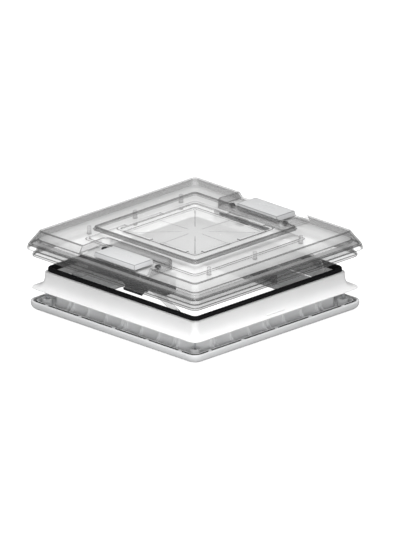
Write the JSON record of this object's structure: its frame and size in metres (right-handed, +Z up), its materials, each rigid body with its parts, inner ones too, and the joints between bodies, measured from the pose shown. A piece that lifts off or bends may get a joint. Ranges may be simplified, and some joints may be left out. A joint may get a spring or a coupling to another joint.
{
  "type": "roof vent cover",
  "caption": "Square caravan roof vent: clear double-skin dome raised on swing arms over a sealed white roof frame and a ceiling trim with sleeve.",
  "frame": {"origin": "centre of the ceiling trim's bottom face", "axes": "+Z up through the roof, +X to the right and -Y to the front, across the two lifting sides"},
  "size_m": [0.49, 0.49, 0.178],
  "materials": {
    "clear_acrylic": "clear tinted acrylic, polished, edges read darker",
    "clear_polycarbonate": "clear moulded polycarbonate, satin",
    "smoke_plastic": "dark grey moulded plastic, fine grain",
    "black_plastic": "black acetal, satin",
    "white_abs": "white ABS, semi gloss",
    "trim_abs": "light grey ABS, fine spark-eroded grain",
    "badge_plate": "frosted light plastic, no lettering",
    "seal_rubber": "black EPDM, matt",
    "stainless_steel": "turned stainless steel"
  },
  "bodies": {
    "base": {"roof_flange_frame": "white_abs", "rim_seal": "seal_rubber", "ceiling_trim_ring": "trim_abs", "inner_sleeve_frame": "trim_abs", "frame_screw_front_left": "stainless_steel", "frame_screw_front_right": "stainless_steel", "frame_screw_back_left": "stainless_steel", "frame_screw_back_right": "stainless_steel", "arm_bracket_front_left": "white_abs", "arm_bracket_front_right": "white_abs", "arm_bracket_back_left": "white_abs", "arm_bracket_back_right": "white_abs", "arm_pivot_pin_front_left": "stainless_steel", "arm_pivot_pin_front_right": "stainless_steel", "arm_pivot_pin_back_left": "stainless_steel", "arm_pivot_pin_back_right": "stainless_steel", "lock_catch_front": "smoke_plastic", "lock_catch_back": "smoke_plastic"},
    "front_rod": {"guide_rod_front": "stainless_steel"},
    "dome": {"dome_outer_skin": "clear_acrylic", "dome_inner_skin": "clear_acrylic", "dome_post_front_left": "clear_acrylic", "dome_post_middle_left": "clear_acrylic", "dome_post_back_left": "clear_acrylic", "dome_post_front_right": "clear_acrylic", "dome_post_middle_right": "clear_acrylic", "dome_post_back_right": "clear_acrylic", "badge_plate_front": "badge_plate", "badge_plate_back": "badge_plate", "lift_rail_front": "smoke_plastic", "lift_rail_back": "clear_polycarbonate", "guide_rod_back": "stainless_steel", "rail_screw_front_left": "black_plastic", "rail_screw_front_right": "black_plastic", "rail_screw_back_left": "black_plastic", "rail_screw_back_right": "black_plastic", "lever_pin_front": "stainless_steel", "lever_pin_back": "stainless_steel"},
    "arm_front_left": {"lift_arm_front_left": "clear_polycarbonate"},
    "arm_front_right": {"lift_arm_front_right": "clear_polycarbonate"},
    "arm_back_left": {"lift_arm_back_left": "clear_polycarbonate"},
    "arm_back_right": {"lift_arm_back_right": "clear_polycarbonate"},
    "slider_front_left": {"arm_slider_front_left": "black_plastic"},
    "slider_front_right": {"arm_slider_front_right": "black_plastic"},
    "slider_back_left": {"arm_slider_back_left": "black_plastic"},
    "slider_back_right": {"arm_slider_back_right": "black_plastic"},
    "lever_front": {"lock_lever_front": "smoke_plastic"},
    "lever_back": {"lock_lever_back": "smoke_plastic"}
  },
  "joints": [
    {"name": "front_lift", "type": "hinge", "parent": "base", "child": "front_rod", "pos_m": [0, 0.212, 0.09915], "axis": [-1, 0, 0], "range_deg": [-7.65, 0]},
    {"name": "back_lift", "type": "hinge", "parent": "front_rod", "child": "dome", "pos_m": [0, -0.212, 0.1275], "axis": [1, 0, 0], "range_deg": [-7.65, 0]},
    {"name": "arm_front_left_swing", "type": "hinge", "parent": "base", "child": "arm_front_left", "pos_m": [-0.152, -0.20165, 0.082], "axis": [0, -1, 0], "range_deg": [-32, 0.5]},
    {"name": "slider_front_left_turn", "type": "hinge", "parent": "arm_front_left", "child": "slider_front_left", "pos_m": [-0.056, -0.20165, 0.1275], "axis": [0, -1, 0], "range_deg": [-0.5, 32]},
    {"name": "arm_front_right_swing", "type": "hinge", "parent": "base", "child": "arm_front_right", "pos_m": [0.152, -0.20165, 0.082], "axis": [0, 1, 0], "range_deg": [-32, 0.5]},
    {"name": "slider_front_right_turn", "type": "hinge", "parent": "arm_front_right", "child": "slider_front_right", "pos_m": [0.056, -0.20165, 0.1275], "axis": [0, 1, 0], "range_deg": [-0.5, 32]},
    {"name": "arm_back_left_swing", "type": "hinge", "parent": "base", "child": "arm_back_left", "pos_m": [-0.152, 0.20165, 0.082], "axis": [0, -1, 0], "range_deg": [-32, 0.5]},
    {"name": "slider_back_left_turn", "type": "hinge", "parent": "arm_back_left", "child": "slider_back_left", "pos_m": [-0.056, 0.20165, 0.1275], "axis": [0, -1, 0], "range_deg": [-0.5, 32]},
    {"name": "arm_back_right_swing", "type": "hinge", "parent": "base", "child": "arm_back_right", "pos_m": [0.152, 0.20165, 0.082], "axis": [0, 1, 0], "range_deg": [-32, 0.5]},
    {"name": "slider_back_right_turn", "type": "hinge", "parent": "arm_back_right", "child": "slider_back_right", "pos_m": [0.056, 0.20165, 0.1275], "axis": [0, 1, 0], "range_deg": [-0.5, 32]},
    {"name": "lever_front_turn", "type": "hinge", "parent": "dome", "child": "lever_front", "pos_m": [0, -0.176, 0.1015], "axis": [-1, 0, 0], "range_deg": [0, 35]},
    {"name": "lever_back_turn", "type": "hinge", "parent": "dome", "child": "lever_back", "pos_m": [0, 0.176, 0.1015], "axis": [1, 0, 0], "range_deg": [0, 35]}
  ],
  "couplings": [
    {"joint": "arm_front_left_swing", "follows": "front_lift", "ratio": 3.9784},
    {"joint": "slider_front_left_turn", "follows": "front_lift", "ratio": -3.9784},
    {"joint": "arm_front_right_swing", "follows": "front_lift", "ratio": 3.9784},
    {"joint": "slider_front_right_turn", "follows": "front_lift", "ratio": -3.9784},
    {"joint": "arm_back_left_swing", "follows": "back_lift", "ratio": 3.9784},
    {"joint": "slider_back_left_turn", "follows": "back_lift", "ratio": -3.9784},
    {"joint": "arm_back_right_swing", "follows": "back_lift", "ratio": 3.9784},
    {"joint": "slider_back_right_turn", "follows": "back_lift", "ratio": -3.9784}
  ]
}
